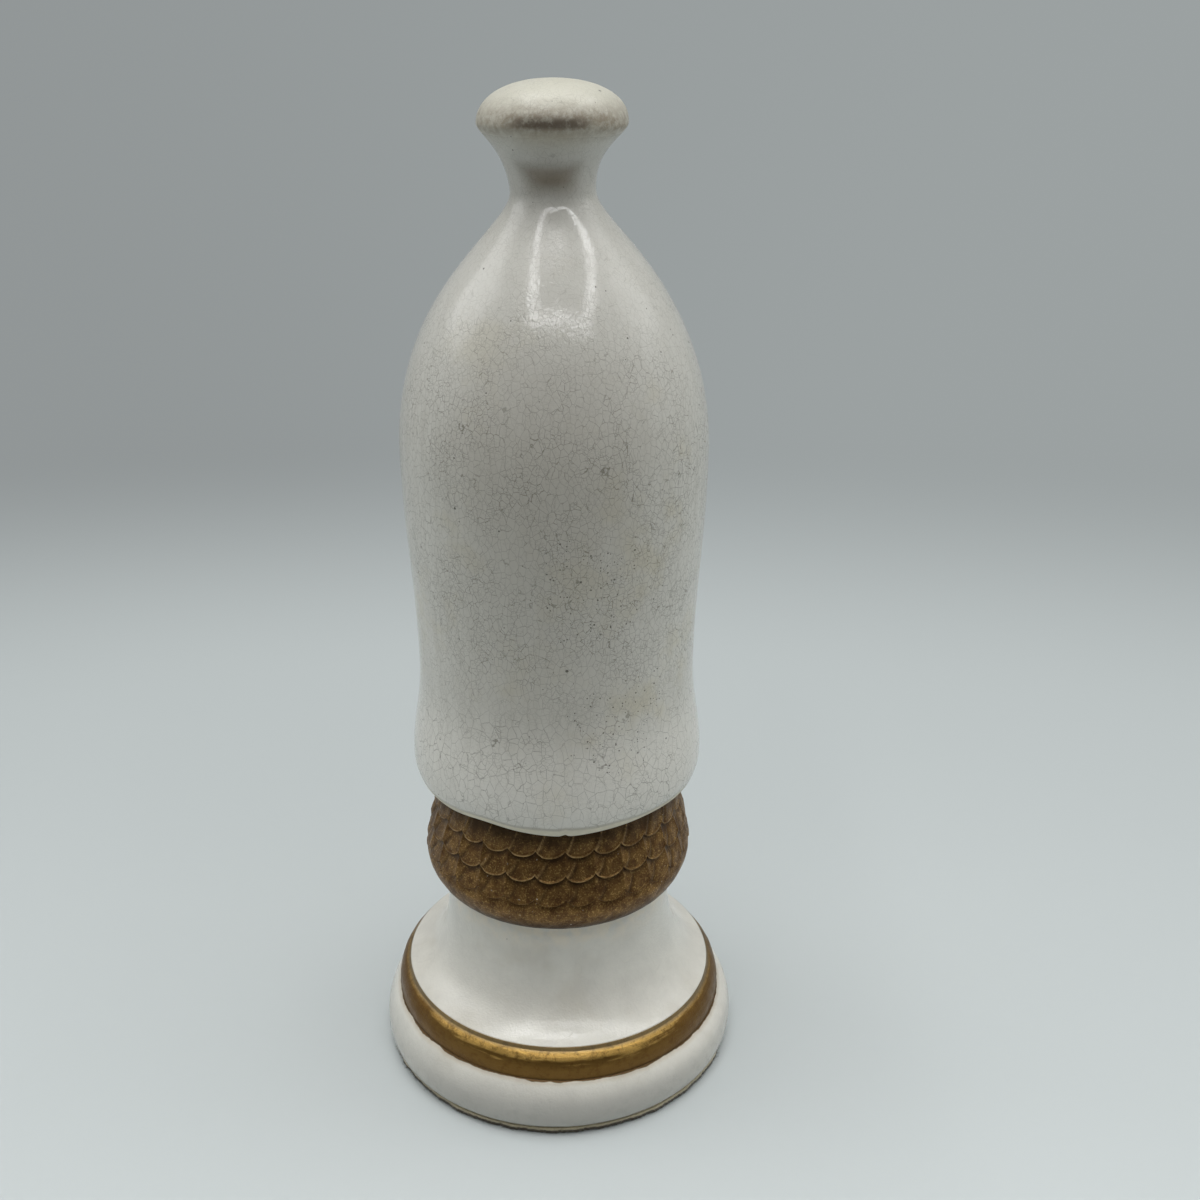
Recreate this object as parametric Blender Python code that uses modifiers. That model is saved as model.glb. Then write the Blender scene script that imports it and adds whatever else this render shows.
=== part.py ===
"""Large ceramic chess pawn: glazed bell and foot, gilt scale collar and bead, weight and felt pad."""

import math

import bpy
import numpy as np

MM = 0.001

# Height from the felt's underside to the top of the knob
PAWN_HEIGHT = 201.7 * MM

# Clearance that every pair of meeting pieces keeps
SEAT = 0.3 * MM

# Felt pad, cut by hand from a sheet and glued under the foot
FELT_THICKNESS = 1.5 * MM
FELT_INSET = 1.0 * MM
FELT_RAGGED = 0.35 * MM

# Plaster weight, poured into the mouth of the foot
WEIGHT_HEIGHT = 9.0 * MM

# Foot: a rounded plinth, a cove up to the neck, and a spigot that carries the collar
FOOT_RADIUS = 38.6 * MM
FOOT_ROUND = 3.2 * MM
FOOT_TUCK = 1.2 * MM
FOOT_WALL = 4.5 * MM
PLINTH_HEIGHT = 10.1 * MM
COVE_HEIGHT = 23.0 * MM
NECK_RADIUS = 23.7 * MM
NECK_LEDGE = 4.0 * MM
SPIGOT_HEIGHT = 15.0 * MM
SPIGOT_WALL = 4.2 * MM

# Gilt bead, a low rounded band that leans in over the plinth and lies in a groove
BEAD_WIDTH = 6.9 * MM
BEAD_PROUD = 0.7 * MM
BEAD_SUNK = 1.6 * MM
BEAD_INSET = 3.2 * MM
BEAD_LEAN = math.radians(70)

# Gilt collar with rows of hanging scales over a plain rolled rim, the first row tucked up behind the lip
COLLAR_HEIGHT = 23.1 * MM
COLLAR_BULGE = 3.0 * MM
COLLAR_REVEAL = 1.2 * MM
RIM_REVEAL = 0.8 * MM
REGISTER_HEIGHT = 5.0 * MM
REGISTER_WALL = 2.5 * MM
REGISTER_DEPTH = 2.5 * MM
SCALES_AROUND = 28
SCALE_ROWS = 3
SCALE_PITCH = 4.9 * MM
SCALE_RELIEF = 0.7 * MM
SCALE_TONGUE = 2.0 * MM
SCALE_FURROW = 0.35 * MM
SCALE_TUCK = 0.8 * MM

# Bell, from the lip that overhangs the collar up to the knob
LIP_RADIUS = 29.8 * MM
LIP_OVERHANG = 4.4 * MM
LIP_SEAT_WIDTH = 1.6 * MM
LIP_ROUND = 3.1 * MM
WAIST_RADIUS = 27.8 * MM
SHOULDER_RADIUS = 29.6 * MM
THROAT_RADIUS = 8.0 * MM
KNOB_RADIUS = 13.4 * MM
BELL_WALL = 5.0 * MM
CROWN_THICKNESS = 14.5 * MM

# Where the bell's rings lie, as shares of its own height
LIP_SHARE = 0.044
WAIST_SHARE = 0.195
SHOULDER_SHARE = 0.511
THROAT_SHARE = 0.872
RIDGE_SHARE = 0.947

# How a curve bends: the shares of its rise over which it stays upright at its upper and its lower end
KNOB_BEND = (0.16, 0.63)
DOME_BEND = (0.21, 0.65)
WAIST_BEND = (0.4, 0.4)
LIP_BEND = (0.45, 0.35)
COLLAR_BEND = (0.1, 0.4)

# How the cove and the plinth bend: shares of their fall and reach at the two handles of the curve
COVE_FALL = (0.7, 0.1)
COVE_REACH = 0.7
PLINTH_FALL = (0.2, 0.4)
PLINTH_REACH = 0.6

# How a scale row swells: shares of the row's pitch, and of the full relief at each
SCALE_SWELL = ((0.0, 0.0), (0.5, 0.7), (0.93, 1.0))

# Where the hollow of the neck starts to narrow, as a share of its height
NECK_TAPER = 0.6

# Facets: sides round a turned piece, points on the felt's edge, across a scale and down the collar
TURN_STEPS = 64
FELT_POINTS = 96
SCALE_STEPS = 4
WALL_POINTS = 24
CREASE_ANGLE = math.radians(38)

# Handle length that makes a cubic curve follow a quarter of an ellipse; less is flatter, more is fuller
QUARTER = 0.5523
KNOB_FULLNESS = 0.6
RIM_FULLNESS = 0.36

# Heights, stacked from the felt's underside upwards
FOOT_Z = FELT_THICKNESS + SEAT
BEAD_FOOT_Z = FOOT_Z + PLINTH_HEIGHT
BEAD_TOP_Z = BEAD_FOOT_Z + BEAD_WIDTH * math.sin(BEAD_LEAN)
LEDGE_Z = BEAD_TOP_Z + COVE_HEIGHT
COLLAR_Z = LEDGE_Z + SEAT
COLLAR_TOP_Z = COLLAR_Z + COLLAR_HEIGHT
SCALES_Z = COLLAR_TOP_Z + SCALE_TUCK
RIM_TOP_Z = SCALES_Z - SCALE_ROWS * SCALE_PITCH
RIM_WIDEST_Z = RIM_TOP_Z - SCALE_TONGUE - RIM_REVEAL
BELL_Z = COLLAR_TOP_Z + SEAT
BELL_HEIGHT = PAWN_HEIGHT - BELL_Z
LIP_Z = BELL_Z + LIP_SHARE * BELL_HEIGHT
WAIST_Z = BELL_Z + WAIST_SHARE * BELL_HEIGHT
SHOULDER_Z = BELL_Z + SHOULDER_SHARE * BELL_HEIGHT
THROAT_Z = BELL_Z + THROAT_SHARE * BELL_HEIGHT
RIDGE_Z = BELL_Z + RIDGE_SHARE * BELL_HEIGHT

# Radii where one piece takes its size from the next
BEAD_FOOT_RADIUS = FOOT_RADIUS - BEAD_INSET
BEAD_TOP_RADIUS = BEAD_FOOT_RADIUS - BEAD_WIDTH * math.cos(BEAD_LEAN)
MOUTH_RADIUS = BEAD_TOP_RADIUS - BEAD_SUNK - FOOT_WALL
SPIGOT_RADIUS = NECK_RADIUS - NECK_LEDGE
COLLAR_BORE = SPIGOT_RADIUS + SEAT
COLLAR_TOP_RADIUS = LIP_RADIUS - LIP_OVERHANG
BELL_BORE = COLLAR_TOP_RADIUS - LIP_SEAT_WIDTH
REGISTER_RADIUS = BELL_BORE - SEAT


def clear_scene():
    for obj in list(bpy.data.objects):
        bpy.data.objects.remove(obj, do_unlink=True)


def make_material(name, colour, roughness, metallic=0.0):
    material = bpy.data.materials.new(name)
    material.use_nodes = True
    shader = material.node_tree.nodes["Principled BSDF"]
    shader.inputs["Base Color"].default_value = (*colour, 1.0)
    shader.inputs["Roughness"].default_value = roughness
    shader.inputs["Metallic"].default_value = metallic
    return material


def curve(start, handle_a, handle_b, end, count):
    """The points of a cubic curve after its start: count of them, the last one on its end."""
    corners = np.array([start, handle_a, handle_b, end])
    t = np.arange(1, count + 1)[:, None] / count
    weights = np.hstack([(1 - t) ** 3, 3 * t * (1 - t) ** 2, 3 * t**2 * (1 - t), t**3])
    return [tuple(point) for point in weights @ corners]


def upright(start, end, bend, count):
    """A curve that leaves its start and reaches its end upright."""
    rise = end[1] - start[1]
    return curve(
        start,
        (start[0], start[1] + bend[0] * rise),
        (end[0], end[1] - bend[1] * rise),
        end,
        count,
    )


def quarter_out(top, side, count, fullness=QUARTER):
    """A quarter ellipse from a level top out and down to an upright side, fuller or flatter on demand."""
    reach = side[0] - top[0]
    drop = top[1] - side[1]
    return curve(
        top,
        (top[0] + fullness * reach, top[1]),
        (side[0], side[1] + fullness * drop),
        side,
        count,
    )


def quarter_under(side, bottom, count, fullness=QUARTER):
    """A quarter ellipse from an upright side down and in to a level bottom, fuller or flatter on demand."""
    reach = side[0] - bottom[0]
    drop = side[1] - bottom[1]
    return curve(
        side,
        (side[0], side[1] - fullness * drop),
        (bottom[0] + fullness * reach, bottom[1]),
        bottom,
        count,
    )


def bow(start, end, rise, count):
    """The points of a circular arc from start to end, both among them, bowed to the left by rise."""
    along = np.subtract(end, start)
    half = np.hypot(*along) / 2
    along = along / (2 * half)
    left = np.array([-along[1], along[0]])
    radius = (half**2 + rise**2) / (2 * rise)
    centre = np.add(start, end) / 2 + (rise - radius) * left
    turn_half = math.asin(half / radius)
    angles = np.linspace(-turn_half, turn_half, count)[:, None]
    arc = centre + radius * (np.sin(angles) * along + np.cos(angles) * left)
    return [tuple(point) for point in arc]


def turn(name, profile, steps, closed=True):
    """The mesh of a profile of (radius, height) points, outer side from the top down, turned about Z."""
    outline = bpy.data.meshes.new(name + "_outline")
    edges = [(i, i + 1) for i in range(len(profile) - 1)]
    if closed:
        edges.append((len(profile) - 1, 0))
    outline.from_pydata([(radius, 0.0, height) for radius, height in profile], edges, [])
    guide = bpy.data.objects.new(name + "_outline", outline)
    bpy.context.scene.collection.objects.link(guide)
    screw = guide.modifiers.new("Turn", "SCREW")
    screw.steps = steps
    screw.render_steps = steps
    screw.use_merge_vertices = True
    screw.merge_threshold = 0.00005
    graph = bpy.context.evaluated_depsgraph_get()
    mesh = bpy.data.meshes.new_from_object(guide.evaluated_get(graph))
    mesh.name = name
    bpy.data.objects.remove(guide, do_unlink=True)
    bpy.data.meshes.remove(outline)
    return mesh


def place(name, mesh, material, parts):
    """One named piece in the pawn's collection, smooth except at its real edges."""
    mesh.materials.clear()
    mesh.materials.append(material)
    mesh.shade_smooth()
    mesh.set_sharp_from_angle(angle=CREASE_ANGLE)
    obj = bpy.data.objects.new(name, mesh)
    parts.objects.link(obj)
    return obj


def bell_profile():
    """Knob, throat, dome, waist and lip outside, then the hollow of the casting inside."""
    outside = [(0.0, PAWN_HEIGHT)]
    outside += quarter_out((0.0, PAWN_HEIGHT), (KNOB_RADIUS, RIDGE_Z), 5, KNOB_FULLNESS)
    outside += upright((KNOB_RADIUS, RIDGE_Z), (THROAT_RADIUS, THROAT_Z), KNOB_BEND, 5)
    outside += upright((THROAT_RADIUS, THROAT_Z), (SHOULDER_RADIUS, SHOULDER_Z), DOME_BEND, 10)
    outside += upright((SHOULDER_RADIUS, SHOULDER_Z), (WAIST_RADIUS, WAIST_Z), WAIST_BEND, 3)
    outside += upright((WAIST_RADIUS, WAIST_Z), (LIP_RADIUS, LIP_Z), LIP_BEND, 3)
    outside += quarter_under((LIP_RADIUS, LIP_Z), (LIP_RADIUS - LIP_ROUND, BELL_Z), 4)
    bore_top = (BELL_BORE, COLLAR_TOP_Z + REGISTER_HEIGHT + REGISTER_DEPTH)
    waist = (WAIST_RADIUS - BELL_WALL, WAIST_Z)
    shoulder = (SHOULDER_RADIUS - BELL_WALL, SHOULDER_Z)
    crown = (0.0, THROAT_Z - CROWN_THICKNESS)
    inside = [(BELL_BORE, BELL_Z), bore_top]
    inside += upright(bore_top, waist, WAIST_BEND, 2)
    inside += upright(waist, shoulder, WAIST_BEND, 2)
    inside += quarter_out(crown, shoulder, 4)[-2::-1]
    inside.append(crown)
    return outside + inside


def bead_ends(clearance):
    """The upper and lower edge of the bead's band, each set off along the band by a clearance."""
    along = np.array([-math.cos(BEAD_LEAN), math.sin(BEAD_LEAN)])
    top = np.array([BEAD_TOP_RADIUS, BEAD_TOP_Z]) + clearance * along
    foot = np.array([BEAD_FOOT_RADIUS, BEAD_FOOT_Z]) - clearance * along
    return top, foot


def bead_profile():
    """A lens: the proud face from the top down, then the back that lies in the groove."""
    top, foot = bead_ends(0.0)
    return bow(top, foot, BEAD_PROUD, 6) + bow(foot, top, BEAD_SUNK, 4)[1:-1]


def foot_profile():
    """Spigot, ledge, cove, bead groove and plinth outside, then the mouth and the hollow neck inside."""
    top, foot = bead_ends(SEAT)
    groove = bow(foot, top, BEAD_SUNK + SEAT, 6)[::-1]
    neck = (NECK_RADIUS, LEDGE_Z)
    cove_foot = groove[0]
    cove_drop = LEDGE_Z - cove_foot[1]
    cove_reach = cove_foot[0] - NECK_RADIUS
    cove = curve(
        neck,
        (NECK_RADIUS, LEDGE_Z - COVE_FALL[0] * cove_drop),
        (cove_foot[0] - COVE_REACH * cove_reach, cove_foot[1] + COVE_FALL[1] * cove_drop),
        cove_foot,
        7,
    )
    plinth_top = groove[-1]
    widest = (FOOT_RADIUS, FOOT_Z + FOOT_ROUND)
    plinth_drop = plinth_top[1] - widest[1]
    plinth_reach = FOOT_RADIUS - plinth_top[0]
    plinth = curve(
        plinth_top,
        (plinth_top[0] + PLINTH_REACH * plinth_reach, plinth_top[1] - PLINTH_FALL[0] * plinth_drop),
        (FOOT_RADIUS, widest[1] + PLINTH_FALL[1] * plinth_drop),
        widest,
        4,
    )
    underside = (FOOT_RADIUS - FOOT_TUCK, FOOT_Z)
    mouth_top = FOOT_Z + WEIGHT_HEIGHT + SEAT
    neck_bore = SPIGOT_RADIUS - SPIGOT_WALL
    spigot_top = LEDGE_Z + SPIGOT_HEIGHT
    outside = [(SPIGOT_RADIUS, spigot_top), (SPIGOT_RADIUS, LEDGE_Z), neck]
    outside += cove[:-1] + groove + plinth + quarter_under(widest, underside, 2)
    inside = [
        (MOUTH_RADIUS, FOOT_Z),
        (MOUTH_RADIUS, mouth_top),
        (neck_bore, mouth_top + NECK_TAPER * (LEDGE_Z - mouth_top)),
        (neck_bore, spigot_top),
    ]
    return outside + inside


def weight_profile():
    """A plain disc that fills the mouth of the foot."""
    radius = MOUTH_RADIUS - SEAT
    top = FOOT_Z + WEIGHT_HEIGHT
    return [(0.0, top), (radius, top), (radius, FOOT_Z), (0.0, FOOT_Z)]


def collar_profile():
    """Register ring, scale rows stepping down over the swelling wall, the rolled rim, then the bore."""
    top = (COLLAR_TOP_RADIUS, COLLAR_TOP_Z)
    bulge = (COLLAR_TOP_RADIUS + COLLAR_BULGE, RIM_WIDEST_Z)
    wall = [top, *upright(top, bulge, COLLAR_BEND, WALL_POINTS)]
    wall_radius, wall_height = np.array(wall)[::-1].T
    outside = [(REGISTER_RADIUS, COLLAR_TOP_Z + REGISTER_HEIGHT), (REGISTER_RADIUS, COLLAR_TOP_Z)]
    for row in range(SCALE_ROWS):
        for share, lift in SCALE_SWELL:
            height = min(SCALES_Z - (row + share) * SCALE_PITCH, COLLAR_TOP_Z)
            radius = np.interp(height, wall_height, wall_radius)
            outside.append((float(radius) + lift * SCALE_RELIEF, height))
    outside.append((float(np.interp(RIM_TOP_Z, wall_height, wall_radius)), RIM_TOP_Z))
    outside.append(bulge)
    rim_foot = (NECK_RADIUS + COLLAR_REVEAL, COLLAR_Z)
    outside += quarter_under(bulge, rim_foot, 4, RIM_FULLNESS)
    step = COLLAR_TOP_Z - REGISTER_DEPTH
    register_bore = REGISTER_RADIUS - REGISTER_WALL
    inside = [
        (COLLAR_BORE, COLLAR_Z),
        (COLLAR_BORE, step),
        (register_bore, step),
        (register_bore, COLLAR_TOP_Z + REGISTER_HEIGHT),
    ]
    return outside + inside


def hang_scales(mesh):
    """Let each row's edge hang in round tongues, one to a scale, with a furrow between neighbours.

    Across a scale u runs from -1 to 1. The edge drops by the half circle sqrt(1 - u^2) and the wall sinks
    by |u|^3. The drop grows from nothing at the collar's top and dies out on the rim.
    """
    points = np.empty(len(mesh.vertices) * 3, np.float32)
    mesh.vertices.foreach_get("co", points)
    points = points.reshape(-1, 3).astype(float)
    radius = np.hypot(points[:, 0], points[:, 1])
    angle = np.arctan2(points[:, 1], points[:, 0])
    height = points[:, 2]
    across = (angle * SCALES_AROUND / (2 * math.pi) - 1 / SCALE_STEPS) % 1.0
    u = np.abs(2 * across - 1)
    outer = (radius > COLLAR_TOP_RADIUS - SCALE_RELIEF) & (height > RIM_TOP_Z - SEAT)
    grow = np.clip((COLLAR_TOP_Z - height) / SCALE_PITCH, 0, 1) * outer
    drop = SCALE_TONGUE * grow * np.sqrt(np.clip(1 - u**2, 0, 1))
    sunk = SCALE_FURROW * grow * u**3
    points[:, :2] *= ((radius - sunk) / radius)[:, None]
    points[:, 2] -= drop
    mesh.vertices.foreach_set("co", points.astype(np.float32).ravel())
    mesh.update()


def felt_curve():
    """A flat disc whose edge wanders a little, as scissors leave it."""
    angles = np.linspace(0, 2 * math.pi, FELT_POINTS, endpoint=False)
    waver = 0.5 * np.sin(5 * angles) + 0.3 * np.sin(11 * angles + 1) + 0.2 * np.sin(23 * angles + 2)
    radius = FOOT_RADIUS - FELT_INSET + FELT_RAGGED * waver
    outline = bpy.data.curves.new("felt_pad", "CURVE")
    outline.dimensions = "2D"
    outline.fill_mode = "BOTH"
    outline.extrude = FELT_THICKNESS / 2
    spline = outline.splines.new("POLY")
    spline.points.add(FELT_POINTS - 1)
    points = np.zeros((FELT_POINTS, 4))
    points[:, 0] = radius * np.cos(angles)
    points[:, 1] = radius * np.sin(angles)
    points[:, 3] = 1
    spline.points.foreach_set("co", points.ravel())
    spline.use_cyclic_u = True
    return outline


def main():
    clear_scene()
    parts = bpy.data.collections.new("chess_pawn")
    bpy.context.scene.collection.children.link(parts)

    glaze = make_material("crazed_white_glaze", (0.60, 0.58, 0.53), 0.32)
    place("bell_head", turn("bell_head", bell_profile(), TURN_STEPS, closed=False), glaze, parts)

    foot_glaze = make_material("smooth_white_glaze", (0.66, 0.65, 0.62), 0.30)
    place("base_foot", turn("base_foot", foot_profile(), TURN_STEPS), foot_glaze, parts)

    antique_gilt = make_material("antique_gilt", (0.17, 0.10, 0.04), 0.45, 0.6)
    collar = turn("scale_collar", collar_profile(), SCALES_AROUND * SCALE_STEPS)
    hang_scales(collar)
    place("scale_collar", collar, antique_gilt, parts)

    bright_gilt = make_material("bright_gilt", (0.36, 0.22, 0.06), 0.35, 0.8)
    place("bead_ring", turn("bead_ring", bead_profile(), TURN_STEPS), bright_gilt, parts)

    plaster = make_material("cast_plaster", (0.70, 0.68, 0.63), 0.9)
    weight = turn("plaster_weight", weight_profile(), TURN_STEPS, closed=False)
    place("plaster_weight", weight, plaster, parts)

    felt_cream = make_material("cream_felt", (0.50, 0.45, 0.34), 0.95)
    felt = bpy.data.objects.new("felt_pad", felt_curve())
    felt.data.materials.append(felt_cream)
    felt.location.z = FELT_THICKNESS / 2
    parts.objects.link(felt)


main()
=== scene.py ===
# %% [markdown]
# # A felted ceramic chess pawn
# A large pawn for a decorative set: a white bell with a knob, a gilt collar of scales, a coved foot with a
# gilt bead, and a felt pad. The CAD model gives every piece its place and size. This lesson covers each
# solid but the hidden plaster weight with a finer surface, worked out with numpy, and gives each a finish.

# %% Load the CAD model
import math

import bpy
import numpy as np
from mathutils import Matrix, Vector


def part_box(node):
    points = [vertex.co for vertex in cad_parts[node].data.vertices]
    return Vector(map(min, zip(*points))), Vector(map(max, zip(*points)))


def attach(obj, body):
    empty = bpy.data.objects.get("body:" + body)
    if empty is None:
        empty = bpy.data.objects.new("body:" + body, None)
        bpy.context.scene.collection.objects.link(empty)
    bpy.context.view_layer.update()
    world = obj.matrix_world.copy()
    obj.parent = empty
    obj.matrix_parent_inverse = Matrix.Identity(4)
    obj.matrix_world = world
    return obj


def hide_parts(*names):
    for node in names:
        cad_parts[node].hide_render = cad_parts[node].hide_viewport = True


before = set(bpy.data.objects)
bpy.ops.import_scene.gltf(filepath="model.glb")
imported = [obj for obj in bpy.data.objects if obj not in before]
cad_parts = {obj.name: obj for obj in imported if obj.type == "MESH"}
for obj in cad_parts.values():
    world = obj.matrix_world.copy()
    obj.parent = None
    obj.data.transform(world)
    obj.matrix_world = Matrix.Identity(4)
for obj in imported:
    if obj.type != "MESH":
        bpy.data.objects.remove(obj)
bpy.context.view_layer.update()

MM = 0.001
print("CAD pieces:", ", ".join(sorted(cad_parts)))

# %% [markdown]
# ## The camera
# The photograph was taken close to the pawn and looks down on it. Its place was worked out from the ellipses
# of the rings. A constraint could aim the camera, but a plain matrix (move, pitch, then a small roll) is
# exact.

# %% Camera
EYE = Vector((8.8, -258.5, 214.5)) * MM
LOOK_DOWN = math.radians(23.29)
ROLL = math.radians(0.28)
FOCAL_LENGTH, SENSOR_WIDTH = 42.0, 36.0

lens = bpy.data.cameras.new("pawn_camera")
lens.lens = FOCAL_LENGTH
lens.sensor_width = SENSOR_WIDTH
lens.clip_start = 10 * MM
camera = bpy.data.objects.new("pawn_camera", lens)
bpy.context.scene.collection.objects.link(camera)
pitch = Matrix.Rotation(math.pi / 2 - LOOK_DOWN, 4, "X")
camera.matrix_world = Matrix.Translation(EYE) @ pitch @ Matrix.Rotation(ROLL, 4, "Z")
bpy.context.scene.camera = camera
print("camera at, mm:", [round(c / MM, 1) for c in EYE])

# %% [markdown]
# ## Wiring nodes
# Every finish below is a tree of shader nodes. In the editor they are joined by hand. In a script that fills
# pages, so small helpers place nodes, do sums, make soft steps and blend colours.

# %% Node helpers
def put(kind, sockets=None, tree=None, **settings):
    """Place one node: sockets maps input names or numbers to a value, or to an output that is wired to it.

    The new node goes into the given tree, or into the tree of the first output.
    """
    sockets = sockets or {}
    wired = [value for value in sockets.values() if isinstance(value, bpy.types.NodeSocket)]
    tree = tree or wired[0].id_data
    made = tree.nodes.new("ShaderNode" + kind)
    for name, value in settings.items():
        setattr(made, name, value)
    for name, value in sockets.items():
        if isinstance(value, bpy.types.NodeSocket):
            tree.links.new(value, made.inputs[name])
        else:
            made.inputs[name].default_value = value
    return made


def calc(operation, a, b=0.0, c=0.0):
    """One sum on two or three values."""
    return put("Math", {0: a, 1: b, 2: c}, operation=operation).outputs[0]


def times(first, *others):
    """The product of any number of values."""
    for other in others:
        first = calc("MULTIPLY", first, other)
    return first


def most(first, *others):
    """The largest of any number of values."""
    for other in others:
        first = calc("MAXIMUM", first, other)
    return first


def fade(value, low, high, at_low=0.0, at_high=1.0):
    """A smooth step: at_low up to low, at_high from high on."""
    sockets = {"Value": value, "From Min": low, "From Max": high, "To Min": at_low, "To Max": at_high}
    return put("MapRange", sockets, interpolation_type="SMOOTHSTEP").outputs["Result"]


def tint(factor, first, second):
    """Blend two colours, written as red, green, blue or wired."""
    a, b = [c if isinstance(c, bpy.types.NodeSocket) else (*c, 1.0) for c in (first, second)]
    return put("Mix", {0: factor, 6: a, 7: b}, data_type="RGBA").outputs[2]


def axes(vector):
    """The X, Y and Z of a vector."""
    return put("SeparateXYZ", {"Vector": vector}).outputs


def stretch(position, scale):
    """The same place in the pattern, stretched by a scale along each axis."""
    return put("Mapping", {"Vector": position, "Scale": scale}).outputs[0]


def feed(node, **outputs):
    """Wire outputs to the sockets of a node, with _ for each space in a socket's name."""
    for name, output in outputs.items():
        node.id_data.links.new(output, node.inputs[name.replace("_", " ")])


def new_finish(name, **constants):
    """A material whose Principled shader already holds its constant numbers."""
    material = bpy.data.materials.new(name)
    material.use_nodes = True
    shader = material.node_tree.nodes["Principled BSDF"]
    for socket, value in constants.items():
        shader.inputs[socket.replace("_", " ")].default_value = value
    place = put("TexCoord", tree=material.node_tree).outputs["Object"]
    return material, material.node_tree, shader, place


print("node helpers ready")

# %% [markdown]
# ## The floor
# The pawn stands on a pale sheet. A curved backdrop could hide the horizon, but one level floor is enough:
# far away, the camera sees the world's grey in it. For light that bounces, its front part is dark, because
# hardly any light came from there.

# %% Floor
FLOOR_NEAR = (0.545, 0.58, 0.58)
FLOOR_FRONT = (0.10, 0.10, 0.10)
BACKDROP = (0.330, 0.357, 0.359)
BACKDROP_LEFT = (0.285, 0.306, 0.309)
FLOOR_HALF = 30.0
FLOOR_DROP = 0.02 * MM
DARK_FRONT = (-0.32, -0.14)
FAR_SHAPE = (0.55, 1.0, 0.0)
FAR_OFF = (0.17, 0.45)


def seen_rays(tree):
    """All kinds of ray, and a mask of the rays that the camera itself sends."""
    rays = put("LightPath", tree=tree).outputs
    return rays, most(rays["Is Camera Ray"], rays["Is Transmission Ray"])


def plain_grey(heading):
    """The grey behind the pawn, a little darker to the left."""
    return tint(fade(heading, -0.50, 0.35), BACKDROP_LEFT, BACKDROP)


corners = np.array([(-1, -1), (1, -1), (1, 1), (-1, 1)]) * FLOOR_HALF
floor_mesh = bpy.data.meshes.new("floor")
floor_mesh.from_pydata([(x, y, -FLOOR_DROP) for x, y in corners], [], [(0, 1, 2, 3)])
floor = bpy.data.objects.new("floor", floor_mesh)
bpy.context.scene.collection.objects.link(floor)

floor_sheet, tree, shader, place = new_finish("floor_sheet", Roughness=0.7)
rays, seen = seen_rays(tree)
lit = most(fade(axes(place)["Y"], *DARK_FRONT), seen)
feed(shader, Base_Color=tint(lit, FLOOR_FRONT, FLOOR_NEAR))
away = stretch(place, FAR_SHAPE)
away = put("VectorMath", {0: away}, operation="LENGTH").outputs["Value"]
far = times(fade(away, *FAR_OFF), most(seen, rays["Is Glossy Ray"]), lit)
heading = put("VectorMath", {0: place}, operation="NORMALIZE").outputs[0]
backdrop_glow_and_front_shade = put("Emission", {"Color": plain_grey(axes(heading)["X"])}).outputs[0]
blend = put("MixShader", {0: far, 1: shader.outputs[0], 2: backdrop_glow_and_front_shade}).outputs[0]
feed(tree.nodes["Material Output"], Surface=blend)
floor_mesh.materials.append(floor_sheet)
print("floor: fades from", FLOOR_NEAR, "to", BACKDROP)

# %% [markdown]
# ## The lamps
# Glowing walls stand beside the pawn, a frame of four lamp strips hangs above it, and a narrow panel over
# the front of the floor. The frame draws the bright ring on the dome. A picture of a room could light the
# scene, but flat lamps are plain numbers, and a lamp of the same glow looks as bright at any size.

# %% Lamps
STRIP = 0.065
RING_HEIGHT = 0.70
RING_LEFT, RING_RIGHT, RING_FRONT, RING_BACK = -0.18, 0.33, -0.43, 0.23
RING_GLOW = 7.2
WALL_OFF, WALL_BACK, WALL_HEIGHT, WALL_SIDE = 0.60, 0.13, 0.58, 0.40
WALL_AIM = (0, 0, 0.15)
LEFT_GLOW, RIGHT_GLOW = 1.55, 1.0
PANEL_CENTRE = (0.0, -0.12, 0.62)
PANEL_WIDTH, PANEL_DEPTH, PANEL_GLOW = 0.50, 0.16, 0.42
PANEL_SPREAD = math.radians(40)


def soft_lamp(name, centre, width, depth, glow, aim=None, spread=math.pi):
    """A flat lamp of a given glow, as a mirror shows it: its power is glow times pi times its area."""
    light = bpy.data.lights.new(name, "AREA")
    light.shape = "RECTANGLE"
    light.size = width
    light.size_y = depth
    light.energy = glow * math.pi * width * depth
    light.spread = spread
    lamp = bpy.data.objects.new(name, light)
    bpy.context.scene.collection.objects.link(lamp)
    lamp.location = centre
    if aim is not None:
        lamp.rotation_euler = (Vector(aim) - Vector(centre)).to_track_quat("-Z", "Y").to_euler()
    lamp.visible_camera = False
    return light.energy


watts = 0.0
wide = RING_RIGHT - RING_LEFT + STRIP
for name, y in (("strip_front", RING_FRONT), ("strip_back", RING_BACK)):
    watts += soft_lamp(name, ((RING_LEFT + RING_RIGHT) / 2, y, RING_HEIGHT), wide, STRIP, RING_GLOW)
deep = RING_BACK - RING_FRONT - STRIP
for name, x in (("strip_left", RING_LEFT), ("strip_right", RING_RIGHT)):
    watts += soft_lamp(name, (x, (RING_FRONT + RING_BACK) / 2, RING_HEIGHT), STRIP, deep, RING_GLOW)
for name, x, glow in (("left_wall", -WALL_OFF, LEFT_GLOW), ("right_wall", WALL_OFF, RIGHT_GLOW)):
    watts += soft_lamp(name, (x, WALL_BACK, WALL_HEIGHT), WALL_SIDE, WALL_SIDE, glow, aim=WALL_AIM)
watts += soft_lamp("front_panel", PANEL_CENTRE, PANEL_WIDTH, PANEL_DEPTH, PANEL_GLOW, spread=PANEL_SPREAD)
print("lamps:", round(watts, 2), "W in all")

# %% [markdown]
# ## The world
# Glaze and gold show the room: bright at the sides, dimmer behind and nearly dark in front, so the front of
# the bell is the darkest part of its white. The camera sees plain grey. A picture of a room could do it, but
# three colours and two soft steps are enough.

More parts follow.
